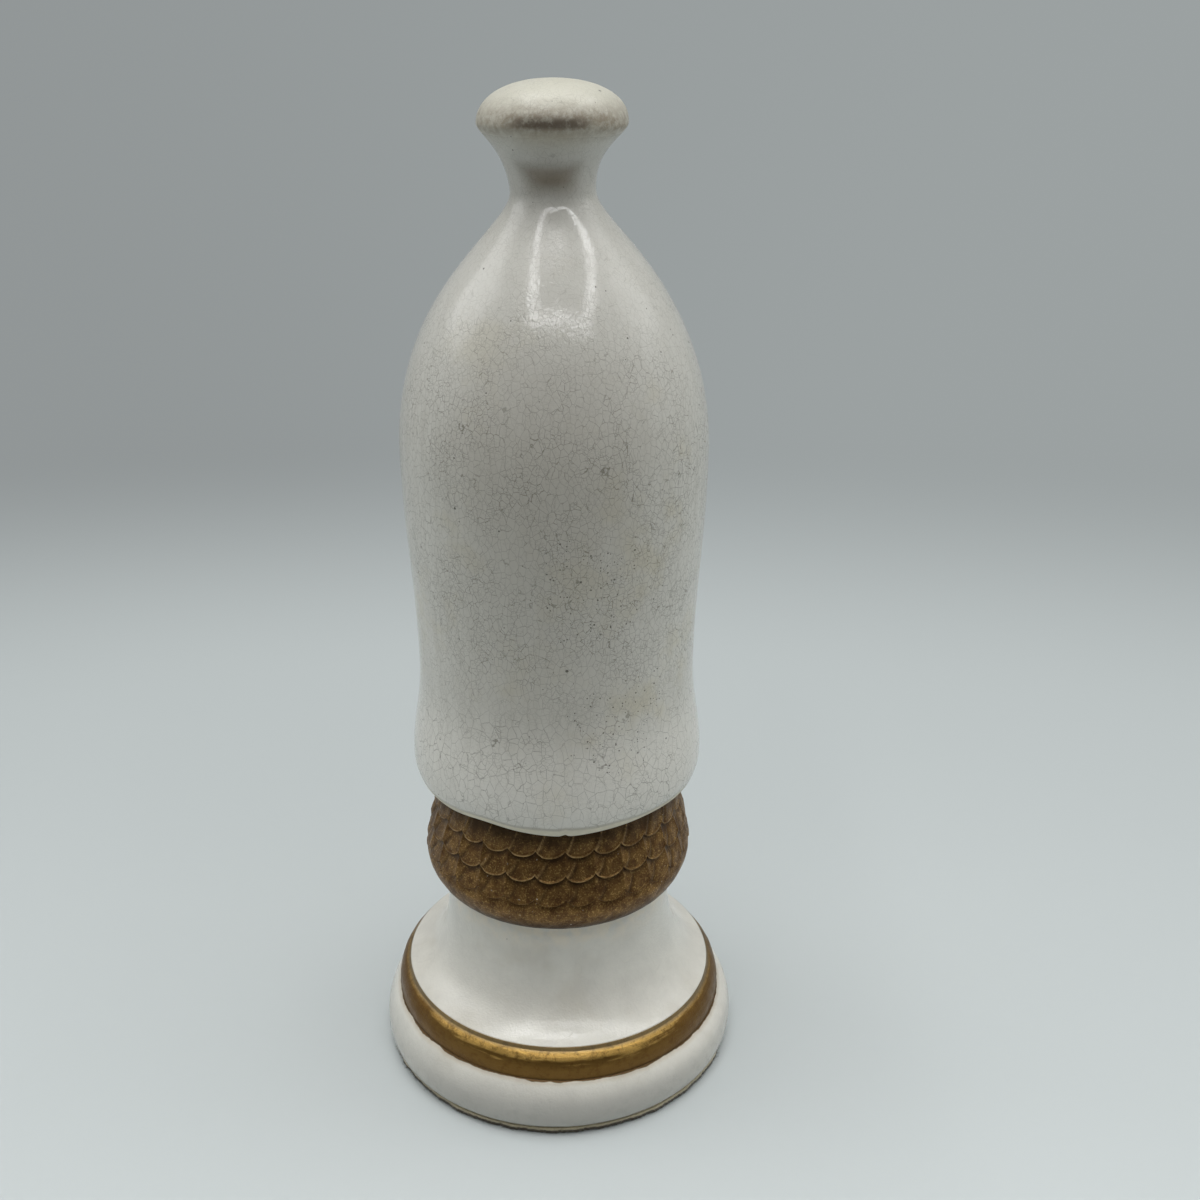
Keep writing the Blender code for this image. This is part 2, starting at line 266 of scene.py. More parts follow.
# %% World
FILL_FRONT = (0.04, 0.041, 0.042)
FILL_SIDE = (0.58, 0.609, 0.61)
FILL_BACK = (0.31, 0.327, 0.33)

world = bpy.data.worlds.new("studio")
world.use_nodes = True
bpy.context.scene.world = world
tree = world.node_tree
seen = seen_rays(tree)[1]
toward = axes(put("TexCoord", tree=tree).outputs["Generated"])
fill = tint(fade(toward["Y"], -0.80, 0.0), FILL_FRONT, FILL_SIDE)
fill = tint(fade(toward["Y"], 0.15, 0.85), fill, FILL_BACK)
sky = tint(seen, fill, plain_grey(toward["X"]))
feed(tree.nodes["Background"], Color=sky)
bpy.context.scene.view_settings.view_transform = "Standard"
print("world: plain grey where it is seen, and a fill that is dim in front")

# %% [markdown]
# ## Profiles
# A potter turns the master for such a piece, so nearly every surface is a profile carried round the upright
# axis. A Screw modifier could turn it. Here it is an array, because later steps move every point.

# %% Profile helpers
def span(start, handle_a, handle_b, end, count):
    """Points on a cubic curve after its start: its four points by the terms of ((1 - t) + t) cubed."""
    t = np.linspace(0, 1, count + 1)[1:, None]
    weights = np.hstack([(1 - t) ** 3, 3 * t * (1 - t) ** 2, 3 * t**2 * (1 - t), t**3])
    return weights @ np.array([start, handle_a, handle_b, end])


def upright(start, end, bend, count):
    """A curve that leaves its start and reaches its end upright, for the given shares of its rise."""
    rise = end[1] - start[1]
    return span(start, (start[0], start[1] + bend[0] * rise), (end[0], end[1] - bend[1] * rise), end, count)


def rounded(start, end, count, level_first, fullness=0.5523):
    """A quarter of an ellipse, from level to upright or back: its handles are fullness of its sides."""
    reach = end[0] - start[0]
    rise = end[1] - start[1]
    if level_first:
        level = (start[0] + fullness * reach, start[1])
        return span(start, level, (end[0], end[1] - fullness * rise), end, count)
    steep = (start[0], start[1] + fullness * rise)
    return span(start, steep, (end[0] - fullness * reach, end[1]), end, count)


def straight(start, end, count):
    """Evenly spaced points after the start of a straight line."""
    t = np.linspace(0, 1, count + 1)[1:, None]
    return (1 - t) * np.array(start) + t * np.array(end)


print("profile helpers ready")

# %% [markdown]
# ## Unevenness
# No hand-made piece is true. Sine waves round the axis make a wall waver, and smooth steps and bumps say
# where. A Displace modifier could do it, but arrays keep each fault in its place: a hem, an edge or a band.

# %% Unevenness helpers
def waver(angle, along, reach, lobes, seed):
    """From -1 to 1: the mean of sines, each with whole turns round the axis and a seeded climb and phase."""
    draw = np.random.default_rng(seed)
    total = np.zeros(np.broadcast(angle, along).shape)
    for lobe in lobes:
        phase, climb, drift = draw.uniform(0, 2 * np.pi), draw.uniform(-1, 1), draw.uniform(0.6, 1.0)
        total = total + drift * np.sin(lobe * angle + 2 * np.pi * climb * along / reach + phase)
    return total / len(lobes)


def bump_at(value, centre, width):
    """A bump, 1 at its centre: e to the power of minus the square of the distance over the width."""
    return np.exp(-(((value - centre) / width) ** 2))


def step(value, low, high):
    """A smooth step from 0 at low to 1 at high: 3 t squared less 2 t cubed, for t the share of the way."""
    t = np.clip((value - low) / (high - low), 0, 1)
    return t * t * (3 - 2 * t)


def from_front(angle):
    """The angle from the side that faces the camera, at minus a quarter turn: wrapped to -pi and pi."""
    return (angle + np.pi / 2 + np.pi) % (2 * np.pi) - np.pi


print("unevenness helpers ready")

# %% [markdown]
# ## From a grid to a mesh
# Arrays hold the radius and the height of every grid point, and each piece pushes these about before its
# mesh is made. Faces could be added one by one, but whole arrays are faster, and carry values that steer a
# finish.

# %% Mesh helpers
def grid(profile, columns):
    """Radius, height and angle of each point of a profile carried round Z."""
    angle = np.linspace(0, 2 * np.pi, columns, endpoint=False)[None, :]
    radius = np.repeat(profile[:, :1], columns, axis=1)
    height = np.repeat(profile[:, 1:], columns, axis=1)
    return radius, height, angle


def wrap(radius, height, angle):
    """From radius, height and angle to x, y and z: the radius times the cosine and the sine of the angle."""
    return np.stack(np.broadcast_arrays(radius * np.cos(angle), radius * np.sin(angle), height), axis=-1)


def ring_faces(rows, columns, loop):
    """Four corners per face, outward if the profile runs down; loop joins the last row to the first."""
    i = np.arange(rows if loop else rows - 1)[:, None]
    j = np.arange(columns)[None, :]
    below, beside = (i + 1) % rows, (j + 1) % columns
    corners = [i * columns + j, below * columns + j, below * columns + beside, i * columns + beside]
    return np.stack(np.broadcast_arrays(*corners), axis=-1).reshape(-1, 4)


def fan_faces(pole, first, columns, flip):
    """Three corners per face, from one pole vertex to a ring of vertices."""
    j = np.arange(columns)
    ring = [first + j, first + (j + 1) % columns]
    return np.stack([np.full(columns, pole), *(ring[::-1] if flip else ring)], axis=-1)


def weave(name, vertices, faces, values):
    """The object itself: arrays of vertices, faces and vertex values go into the mesh whole."""
    mesh = bpy.data.meshes.new(name)
    corners = np.concatenate([block.ravel() for block in faces])
    sizes = np.concatenate([np.full(len(block), block.shape[1]) for block in faces])
    mesh.vertices.add(len(vertices))
    mesh.vertices.foreach_set("co", vertices.astype(np.float32).ravel())
    mesh.loops.add(len(corners))
    mesh.loops.foreach_set("vertex_index", corners.astype(np.int32))
    mesh.polygons.add(len(sizes))
    mesh.polygons.foreach_set("loop_start", (np.cumsum(sizes) - sizes).astype(np.int32))
    for key, value in values.items():
        mesh.attributes.new(key, "FLOAT", "POINT").data.foreach_set("value", value.astype(np.float32))
    mesh.update(calc_edges=True)
    mesh.validate()
    mesh.shade_smooth()
    piece = bpy.data.objects.new(name, mesh)
    bpy.context.scene.collection.objects.link(piece)
    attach(piece, "root")
    print(f"{name}: {len(vertices)} vertices, {int((sizes - 2).sum())} triangles")
    return piece


def skin(name, points, loop, masks=None):
    """A closed mesh over a grid of points: a loop of rings, or rings that end in a pole above and below."""
    rows, columns = points.shape[:2]
    vertices = points.reshape(-1, 3)
    values = {key: np.broadcast_to(mask, (rows, columns)).ravel() for key, mask in (masks or {}).items()}
    faces = [ring_faces(rows, columns, loop)]
    if not loop:
        poles = points[[0, -1]].mean(axis=1)
        faces.append(fan_faces(len(vertices), 0, columns, False))
        faces.append(fan_faces(len(vertices) + 1, len(vertices) - columns, columns, True))
        vertices = np.vstack([vertices, poles])
        values = {key: np.concatenate([mask, mask[[0, -1]]]) for key, mask in values.items()}
    return weave(name, vertices, faces, values)


print("mesh helpers ready")

# %% [markdown]
# ## The bell
# The bell is slip cast: liquid clay, poured into a plaster mould, leaves a hollow shell. The ring that the
# lamps draw on the dome shows how steep it is below the throat. A curve object could hold the outline, but
# named points say what each height is.

# %% Bell outline
KNOB_FULLNESS = 0.6
KNOB_BEND, DOME_BEND, WAIST_BEND, LIP_BEND = (0.16, 0.63), (0.125, 0.64), (0.4, 0.4), (0.45, 0.35)
HEM_ROWS = 22
bell_low, bell_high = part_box("bell_head")
BELL_Z, BELL_TOP = bell_low[2], bell_high[2]


def bell_level(share):
    """A height on the bell, as a share of its own height."""
    return BELL_Z + share * (BELL_TOP - BELL_Z)


knob_side = (13.4 * MM, bell_level(0.947))
throat = (7.75 * MM, bell_level(0.861))
shoulder = (29.6 * MM, bell_level(0.511))
waist = (27.8 * MM, bell_level(0.195))
lip = (29.8 * MM, bell_level(0.044))
hem = (26.7 * MM, BELL_Z)
bell_outside = np.vstack([
    rounded((0.0, BELL_TOP), knob_side, 36, True, KNOB_FULLNESS),
    upright(knob_side, throat, KNOB_BEND, 36),
    upright(throat, shoulder, DOME_BEND, 84),
    upright(shoulder, waist, WAIST_BEND, 40),
    upright(waist, lip, LIP_BEND, 26),
    rounded(lip, hem, HEM_ROWS, False),
])
bore = (23.8 * MM, BELL_Z)
bore_end = (bore[0], bell_level(0.055))
inner_waist = (22.8 * MM, waist[1])
inner_shoulder = (24.5 * MM, shoulder[1])
crown = (0.0, throat[1] - 13.0 * MM)
bell_inside = np.vstack([
    straight(hem, bore, 3),
    straight(bore, bore_end, 2),
    upright(bore_end, inner_waist, WAIST_BEND, 3),
    straight(inner_waist, inner_shoulder, 4),
    rounded(crown, inner_shoulder, 8, True)[-2::-1],
])
bell_rows = np.vstack([bell_outside, bell_inside])
print("bell outline:", len(bell_outside), "rows outside and", len(bell_inside), "inside")

# %% [markdown]
# A cast shell leans a little, its wall wavers, and its hem sags where it was trimmed, with a notch at the
# front. A perfect lathe shape would look like plastic. The lowest edge of the lip is bare of glaze, so its
# vertices carry a mask for the finish.

# %% Bell
BELL_COLUMNS = 300
BELL_WAVER = 0.10
# Each bump of the hem: how far it rises in mm, and its middle and width in degrees from the front.
HEM_RISE, HEM_WAVER = 0.25, 0.10
HEM_BUMPS = ((0.85, -29, 13), (-0.45, 6, 13), (0.4, 45, 18), (0.40, 4.6, 1.2))
# Each lean: how far to the right in mm, and its middle height and width in mm.
LEANS = ((0.33, 174, 10), (-0.3, 188, 5))
KNOB_LEAN, KNOB_FROM, KNOB_TO = 0.25, 192 * MM, 202 * MM
CLAY_START, CLAY_WAVER, CLAY_BLEND = 0.27, 0.06, 3.0

radius, height, angle = grid(bell_rows, BELL_COLUMNS)
outer = (np.arange(len(bell_rows)) < len(bell_outside))[:, None]
radius += BELL_WAVER * MM * outer * waver(angle, height, 60 * MM, (1, 2, 3, 5), 3) * step(radius, 0, 8 * MM)

degrees = np.degrees(from_front(angle))
rise = HEM_RISE + HEM_WAVER * waver(angle, 0, 1, (3, 5, 8, 13), 5)
for size, middle, width in HEM_BUMPS:
    rise = rise + size * bump_at(degrees, middle, width)
hem_part = step(height, lip[1], BELL_Z) * step(radius, bore[0] + 1.2 * MM, hem[0] - 0.3 * MM) * outer
height += hem_part * rise * MM

lean = KNOB_LEAN * step(height, KNOB_FROM, KNOB_TO)
for size, middle, width in LEANS:
    lean = lean + size * bump_at(height, middle * MM, width * MM)
bell_points = wrap(radius, height, angle)
bell_points[..., 0] += lean * MM * outer

row = np.arange(len(bell_rows))[:, None] - (len(bell_outside) - HEM_ROWS)
edge_row = HEM_ROWS * (CLAY_START + CLAY_WAVER * waver(angle, 0, 1, (3, 7, 13, 21), 7))
bare = step(row, edge_row, edge_row + CLAY_BLEND)
bell = skin("glazed_bell", bell_points, False, {"bare_clay": bare})
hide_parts("bell_head")

# %% [markdown]
# ## The scale collar
# Under the bell sits a ring of scales over a plain rolled rim. First comes its plain section, with more rows
# of points where each scale will end. The first scales start above the collar's top, so the lip cuts them
# off.

# %% Collar wall
SCALES, STEPS, ROWS = 28, 24, 3
PITCH, TONGUE, TUCK = 4.9 * MM, 2.0 * MM, 0.8 * MM
SEAM = 0.3 * MM
WALL_BEND, RIM_FULLNESS = (0.25, 0.2), 0.36
COLLAR_BORE, REGISTER_BORE, LEDGE_DROP = 20.0 * MM, 21.0 * MM, 2.5 * MM

collar_low, collar_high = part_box("scale_collar")
COLLAR_TOP = BELL_Z - SEAM
SCALES_TOP = COLLAR_TOP + TUCK
RIM_TOP = SCALES_TOP - ROWS * PITCH
bulge = (28.1 * MM, RIM_TOP - TONGUE - 1.4 * MM)
collar_foot = (24.9 * MM, collar_low[2])
wall_top = (24.8 * MM, COLLAR_TOP)
wall = np.vstack([[wall_top], upright(wall_top, bulge, WALL_BEND, 60)])[::-1]


def on_wall(heights):
    """Rows of (radius, height) on the plain wall behind the scales."""
    return np.column_stack([np.interp(heights, wall[:, 1], wall[:, 0]), heights])


down = np.concatenate([np.linspace(0, 0.7, 8), np.linspace(0.76, 0.97, 8), [0.985, 0.998]])
scale_v = np.concatenate([k + down for k in range(ROWS)])
scale_v = scale_v[scale_v * PITCH > TUCK]
rim_part = on_wall(np.linspace(RIM_TOP, bulge[1], 13))
register = (23.5 * MM, collar_high[2])
ledge = COLLAR_TOP - LEDGE_DROP
collar_rows = np.vstack([
    straight(register, (register[0], COLLAR_TOP), 1),
    on_wall(SCALES_TOP - scale_v * PITCH),
    rim_part,
    rounded(bulge, collar_foot, 22, False, RIM_FULLNESS),
    straight(collar_foot, (COLLAR_BORE, collar_foot[1]), 2),
    straight((COLLAR_BORE, collar_foot[1]), (COLLAR_BORE, ledge), 2),
    [(REGISTER_BORE, ledge), (REGISTER_BORE, register[1]), register],
])
print("collar rows:", len(collar_rows))

# %% [markdown]
# The scales were pressed into the mould with a U-shaped tool. They could be sculpted one by one. Here the
# grid itself hangs: each line sinks by a half circle across each scale, so rims stay sharp with few points.
# The number u runs across a scale from -1 to 1, and v down it from 0 to 1.

# %% Hanging scales
JUNCTION, SKEW = 0.39, 0.85

radius, height, angle = grid(collar_rows, SCALES * STEPS)
first_rim = 1 + len(scale_v)
v_all = np.full((len(collar_rows), 1), -1.0)
v_all[1:first_rim, 0] = scale_v
in_scales = v_all >= 0
row_number = np.floor(np.clip(v_all, 0, ROWS - 0.001))
v = np.where(in_scales, v_all - row_number, 0)
turns = angle * SCALES / (2 * np.pi) - JUNCTION
u = 2 * (turns % 1.0) ** SKEW - 1

hang = np.where(in_scales, np.clip(v_all, 0, 1), 0.0)
hang[first_rim:first_rim + len(rim_part), 0] = np.linspace(1, 0, len(rim_part))
height -= TONGUE * hang * np.sqrt(np.clip(1 - u**2, 0, 1))
print("scales:", SCALES * ROWS, "in", ROWS, "rows")

# %% [markdown]
# Each scale ends in a thin raised rim, and a slanting ridge with a gutter parts it from its neighbour. They
# are bumps and steps in u and v, added to the radius, crisp at the front and the back and softer at the
# sides. The mesh keeps them as masks.

# %% Ridges and hollows
RELIEF, RIDGE, FIELD, GUTTER = 0.55 * MM, 0.26 * MM, 0.28 * MM, 0.18 * MM
SLANT = 0.40
RIM_AT, RIM_WIDTH = 0.925, 0.042
RIDGE_WIDTH, GUTTER_OFF, GUTTER_WIDTH = 0.30 * MM, 0.55 * MM, 0.35 * MM
CAST_WAVER = 0.07 * MM
DARK_BELOW, DARK_ABOVE = 1.0 * MM, 4.2 * MM

from_ridge = turns - SLANT * (1 - v)
pressed = 0.8 + 0.2 * np.sin(np.floor(from_ridge) * 2.4 + row_number * 4.1)
from_ridge = ((from_ridge + 0.5) % 1.0 - 0.5) * 2 * np.pi * radius / SCALES
last_row = np.where(row_number == ROWS - 1, 0.5, 1.0)
crisp = (0.5 + 0.5 * np.cos(from_front(angle)) ** 2) * last_row * in_scales
side_ridge = bump_at(from_ridge, 0, RIDGE_WIDTH) * step(v, 0.0, 0.25) * (1 - step(v, 0.95, 1.0)) * pressed
ridge = np.maximum(side_ridge, bump_at(v, RIM_AT, RIM_WIDTH)) * crisp
shelf = (1 - step(v, 0.955, 1.0)) * in_scales
lift = step(v, -0.15, 0.85) * shelf * (0.4 + 0.6 * last_row)
field = (1 - u**2) * step(v, 0.0, 0.5) * shelf
gutter = bump_at(from_ridge, GUTTER_OFF, GUTTER_WIDTH) * step(v, 0.1, 0.4) * shelf
radius += RELIEF * lift + RIDGE * ridge + FIELD * field - GUTTER * gutter
visible = in_scales | (height < RIM_TOP) & (radius > collar_foot[0])
radius += CAST_WAVER * visible * waver(angle, height, 5 * MM, (9, 17, 31, 47, 61), 11)

# dark ground in the gutters, and painted shadow under each rim and, on the first row, under the bell's lip
hollow_and_shadow = np.maximum((1 - step(v, 0.0, 0.35)) * (v_all >= 1), 1 - step(v_all, 0.3, 0.95))
hollow_and_shadow = np.maximum(hollow_and_shadow, 0.7 * gutter) * in_scales
below_scales = np.arange(len(collar_rows))[:, None] >= first_rim
# painted shadow in the gap at the collar's foot, over dark paint
undercut = (1 - step(height - collar_foot[1], DARK_BELOW, DARK_ABOVE)) * below_scales
masks = {"ridge": ridge, "hollow_and_shadow": np.maximum(hollow_and_shadow, undercut)}
collar = skin("scale_ring", wrap(radius, height, angle), True, masks)
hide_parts("scale_collar")

# %% [markdown]
# ## The coved foot
# The foot is the second casting: a neck, a hollow curve that sweeps out to the bead, a groove for the bead,
# and a rounded plinth. Its spigot and its hollow don't show, so they have few points.

# %% Foot outline
BEAD_FOOT = np.array((35.4, 11.9)) * MM
BEAD_WIDTH = 6.9 * MM
BEAD_LEAN = math.radians(70)
BEAD_EDGE = 0.03 * MM
GROOVE_DEPTH = 1.65 * MM
SPIGOT, SPIGOT_BORE, NECK_LEDGE = 19.7 * MM, 15.5 * MM, 21.7 * MM
MOUTH, MOUTH_TOP, BORE_START = 26.94 * MM, 11.1 * MM, 29.2 * MM


def arc(start, end, rise, count):
    """An arc, rise to the left of its chord: its radius is (half chord squared + rise squared) / (2 rise)."""
    start, end = np.array(start), np.array(end)
    half = np.hypot(*(end - start)) / 2
    along = (end - start) / (2 * half)
    left = np.array([-along[1], along[0]])
    bend = (half**2 + rise**2) / (2 * rise)
    swing = np.linspace(-1, 1, count)[:, None] * math.asin(half / bend)
    return (start + end) / 2 + (rise - bend) * left + bend * (np.sin(swing) * along + np.cos(swing) * left)


foot_low, foot_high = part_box("base_foot")
chord = np.array((-math.cos(BEAD_LEAN), math.sin(BEAD_LEAN)))
BEAD_TOP = BEAD_FOOT + BEAD_WIDTH * chord
cove_end = BEAD_TOP + BEAD_EDGE * chord
plinth_start = BEAD_FOOT - BEAD_EDGE * chord
groove = arc(plinth_start, cove_end, GROOVE_DEPTH, 8)[::-1]
neck = (23.7 * MM, collar_low[2] - SEAM)
fall, reach = neck[1] - cove_end[1], cove_end[0] - neck[0]
cove = span(neck, (neck[0], neck[1] - 0.7 * fall), cove_end + (-0.7 * reach, 0.1 * fall), cove_end, 76)
widest = (foot_high[0], foot_low[2] + 3.2 * MM)
fall, reach = plinth_start[1] - widest[1], widest[0] - plinth_start[0]
slope = plinth_start + (0.6 * reach, -0.2 * fall)
plinth = span(plinth_start, slope, (widest[0], widest[1] + 0.4 * fall), widest, 40)
sole = (widest[0] - 1.2 * MM, foot_low[2])
spigot = [(SPIGOT, foot_high[2]), (SPIGOT, neck[1]), (NECK_LEDGE, neck[1]), neck]
foot_outside = np.vstack([cove, groove[1:-1], [plinth_start], plinth, rounded(widest, sole, 16, False)])
hollow_rows = [(MOUTH, MOUTH_TOP), (SPIGOT_BORE, BORE_START), (SPIGOT_BORE, foot_high[2])]
foot_rows = np.vstack([spigot, foot_outside, straight(sole, (MOUTH, sole[1]), 3), hollow_rows])
print("foot outline:", len(foot_rows), "rows")

# %% [markdown]
# The gilder's brush strayed over the bead's edge, so each point remembers how near the bead it lies, and how
# low. The bead is not quite level, and the glaze next to it tilts with it.

# %% Foot
FOOT_COLUMNS = 320
FOOT_WAVER = 0.08 * MM
GILT_REACH = 4 * MM
BEAD_TILT = -0.022

radius, height, angle = grid(foot_rows, FOOT_COLUMNS)
row = np.arange(len(foot_rows))[:, None] - len(spigot)
outer = (row >= 0) & (row < len(foot_outside))
near_bead = 1 - step(height, BEAD_TOP[1] + 0.5 * MM, BEAD_TOP[1] + 5 * MM)
near_bead = near_bead * step(height, BEAD_FOOT[1] - 4 * MM, BEAD_FOOT[1] - 0.4 * MM)
radius += FOOT_WAVER * outer * (1 - near_bead) * waver(angle, height, 25 * MM, (2, 3, 5, 7), 17)
off_bead = np.maximum(height - BEAD_TOP[1], BEAD_FOOT[1] - height)
gilt_reach = (1 - np.clip(off_bead / GILT_REACH, 0, 1)) * outer
low_foot = step(height, BEAD_FOOT[1], foot_low[2]) * outer
height += BEAD_TILT * radius * np.cos(angle) * near_bead * outer
foot = skin("coved_foot", wrap(radius, height, angle), True, {"gilt_reach": gilt_reach, "low_foot": low_foot})
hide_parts("base_foot")

# %% [markdown]
# ## The gilt bead
# The bead is a low band with a quirk under its upper edge, painted by turning the pawn past a loaded brush.
# The bristles' ridges and some lumps make the gold glitter. A torus would be too round, so the band has its
# own section, and its ridges are waves across it that drift slowly along.

# %% Bead
BEAD_COLUMNS = 480
BEAD_BACK = 1.6 * MM
BRISTLE, FINE_BRISTLE, LUMP = 0.022 * MM, 0.6, 0.11 * MM

quirk = BEAD_TOP + np.array((0.26, -0.80)) * MM
full = quirk + np.array((1.60, -0.95)) * MM
falling = BEAD_FOOT + np.array((0.32, 2.70)) * MM
bead_face = np.vstack([[BEAD_TOP], straight(BEAD_TOP, quirk, 5), span(quirk, full, falling, BEAD_FOOT, 42)])
bead_rows = np.vstack([bead_face, arc(BEAD_FOOT, BEAD_TOP, BEAD_BACK, 8)[1:-1]])
radius, height, angle = grid(bead_rows, BEAD_COLUMNS)
row = np.arange(len(bead_rows))[:, None]
section = np.clip(row / (len(bead_face) - 1), 0, 1)
proud = (np.sin(np.pi * section) * (row < len(bead_face))) ** 0.5
bristles = waver(angle, section, 0.09, (3, 5, 8, 4, 7), 23)
bristles = bristles + FINE_BRISTLE * waver(angle, section, 0.03, (6, 9, 11), 29)
lumps = waver(angle, section, 0.8, (4, 7, 13, 19, 29, 43), 31)
push = proud * (BRISTLE * bristles + LUMP * lumps)
outward = (chord[1], -chord[0])
height += push * outward[1] + BEAD_TILT * radius * np.cos(angle)
bead = skin("gilt_bead", wrap(radius + push * outward[0], height, angle), True, {"section": section})
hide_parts("bead_ring")

# %% [markdown]
# ## The felt pad
# The pad keeps the glaze off the board. It was cut with scissors from wool felt about 1.5 mm thick, so its
# edge wanders. One noise could do, but slow swings and small snips differ, so each has its own waver.

# %% Felt
FELT_RADIUS = 37.6 * MM
FLAT_RADIUS, FELT_MIDDLE = FELT_RADIUS - 0.5 * MM, 2 * MM
FELT_LIFT = 0.03 * MM
FELT_COLUMNS = 720
SWINGS, SNIPS, TEETH, FUZZ = 0.30, 0.22, 0.12, 0.07

FELT_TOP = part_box("felt_pad")[1][2]
edge_high, edge_low = FELT_TOP - 0.25 * MM, FELT_LIFT + 0.2 * MM
felt_rows = np.vstack([
    straight((FELT_MIDDLE, FELT_TOP), (FLAT_RADIUS, FELT_TOP), 8),
    rounded((FLAT_RADIUS, FELT_TOP), (FELT_RADIUS, edge_high), 4, True),
    straight((FELT_RADIUS, edge_high), (FELT_RADIUS, edge_low), 6),
    rounded((FELT_RADIUS, edge_low), (FLAT_RADIUS, FELT_LIFT), 4, False),
    straight((FLAT_RADIUS, FELT_LIFT), (FELT_MIDDLE, FELT_LIFT), 6),
])


def felt_edge(angle):
    """How far the cut wanders from a true circle: slow swings of the scissors, snips and small teeth."""
    cut = SWINGS * waver(angle, 0, 1, (3, 5, 11), 37) + SNIPS * waver(angle, 0, 1, (23, 37, 53), 41)
    return (cut + TEETH * waver(angle, 0, 1, (97, 131, 171, 223), 43)) * MM


radius, height, angle = grid(felt_rows, FELT_COLUMNS)
rim = step(radius, FELT_RADIUS - 3 * MM, FELT_RADIUS - 0.3 * MM)
radius += rim * (felt_edge(angle) + FUZZ * MM * waver(angle, height, 0.5 * MM, (61, 149, 191, 257), 47))
felt = skin("felt_disc", wrap(radius, height, angle), False)
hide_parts("felt_pad")

# %% [markdown]
# The cut edge is furry. Particle hair could make the fur, but doesn't export as plain geometry. Thin curled
# fibres, three-sided tubes worked out as one array, do.

# %% Felt fibres
FIBRES, FIBRE_STEPS = 900, 4
FIBRE_THICK, FIBRE_TAPER = 0.03 * MM, 0.8
FIBRE_LEVEL, FIBRE_REACH = (0.15, 1.40), (0.15, 0.75)
FIBRE_SWING, FIBRE_CLIMB = 0.010, 0.30
FIBRE_CURL, FIBRE_ROOT, FIBRE_LOWEST = 2.0, 0.1 * MM, 0.1 * MM

draw = np.random.default_rng(53)
root = draw.uniform(0, 2 * np.pi, FIBRES)[:, None]
level = draw.uniform(*FIBRE_LEVEL, FIBRES)[:, None] * MM
swing = draw.normal(0, FIBRE_SWING, FIBRES)[:, None]
reach = draw.uniform(*FIBRE_REACH, FIBRES)[:, None] * MM
climb = draw.normal(0, FIBRE_CLIMB, FIBRES)[:, None] * MM
t = np.linspace(0, 1, FIBRE_STEPS + 1)[None, :]
ring = FELT_RADIUS + felt_edge(root) - FIBRE_ROOT + reach * np.sin(t * FIBRE_CURL)
rise = np.clip(level + climb * t**2, FIBRE_LOWEST, FELT_TOP)
strand = wrap(ring, rise, root + swing * t)
thick = FIBRE_THICK * (1 - FIBRE_TAPER * t)[:, :, None, None]
sides = (np.arange(3) * 2 * np.pi / 3)[:, None]
round_it = np.stack([-np.sin(root), np.cos(root), np.zeros_like(root)], axis=-1)[:, :, None]
upward = np.array((0.0, 0.0, 1.0))
tube = strand[:, :, None] + thick * (np.cos(sides) * round_it + np.sin(sides) * upward)
one = np.arange((FIBRE_STEPS + 1) * 3).reshape(-1, 3)
a, b = one[:-1], np.roll(one, -1, axis=1)[:-1]
walls = np.stack([a, b, b + 3, a + 3], axis=-1).reshape(-1, 4)
ends = np.array([one[0][::-1], one[-1]])
shift = (np.arange(FIBRES) * one.size)[:, None, None]
faces = [(walls + shift).reshape(-1, 4), (ends + shift).reshape(-1, 3)]
fibres = weave("felt_fibres", tube.reshape(-1, 3), faces, {})

# %% [markdown]
# ## Effects that several finishes share
# Four effects appear on more than one piece. Each is a node group, built once, with its own values in each
# finish. First come helpers for noises, masks, coats of colour and relief.

# %% Finish helpers
def lumps_of(position, density, detail=2.0, rough=0.5):
    """Soft noise with a number of lumps per metre, which may be wired."""
    sockets = {"Vector": position, "Scale": density, "Detail": detail, "Roughness": rough}
    return put("TexNoise", sockets).outputs


def speckle(position, size, detail=2.0, rough=0.5):
    """Soft noise between 0 and 1 whose lumps are about size millimetres across."""
    return lumps_of(position, 1 / (size * MM), detail, rough)["Fac"]


def in_mm(place):
    """How far back and how high a place lies, in millimetres."""
    found = axes(stretch(place, (1 / MM, 1 / MM, 1 / MM)))
    return found["Y"], found["Z"]


def cells(position, scale, feature):
    """Voronoi cells, either the distance to a cell's border or to its middle."""
    return put("TexVoronoi", {"Vector": position, "Scale": scale}, feature=feature).outputs


def mask_of(tree, name):
    """A value that the vertices of the mesh carry."""
    return put("Attribute", tree=tree, attribute_name=name).outputs["Fac"]


def zone(value, enter, leave):
    """1 between two soft steps, 0 outside them."""
    return times(fade(value, *enter), fade(value, *leave, 1.0, 0.0))


def add_share(base, value, share):
    """The base plus a share of a value."""
    return calc("MULTIPLY_ADD", value, share, base)


def coats(colour, *layers):
    """Lay colours over a colour, each where its mask is 1."""
    for mask, layer in layers:
        colour = tint(mask, colour, layer)
    return colour


def raise_skin(shader, height, depth, strength=1.0):
    """Let a height from 0 to 1 stand out from the surface by a depth."""
    bump = put("Bump", {"Height": height, "Strength": strength, "Distance": depth})
    feed(shader, Normal=bump.outputs["Normal"])


def dress(material, *pieces):
    """Give pieces a finish, and say how many nodes it has."""
    for piece in pieces:
        piece.data.materials.append(material)
    print(f"{material.name}: {len(material.node_tree.nodes)} nodes")


def new_group(name, takes, gives):
    """An empty node group with named float inputs after its Position, and named float outputs."""
    group = bpy.data.node_groups.new(name, "ShaderNodeTree")
    group.interface.new_socket("Position", in_out="INPUT", socket_type="NodeSocketVector")
    for socket in takes:
        group.interface.new_socket(socket, in_out="INPUT", socket_type="NodeSocketFloat")
    for socket in gives:
        group.interface.new_socket(socket, in_out="OUTPUT", socket_type="NodeSocketFloat")
    entry = group.nodes.new("NodeGroupInput")
    leave = group.nodes.new("NodeGroupOutput")
    return group, entry.outputs, leave


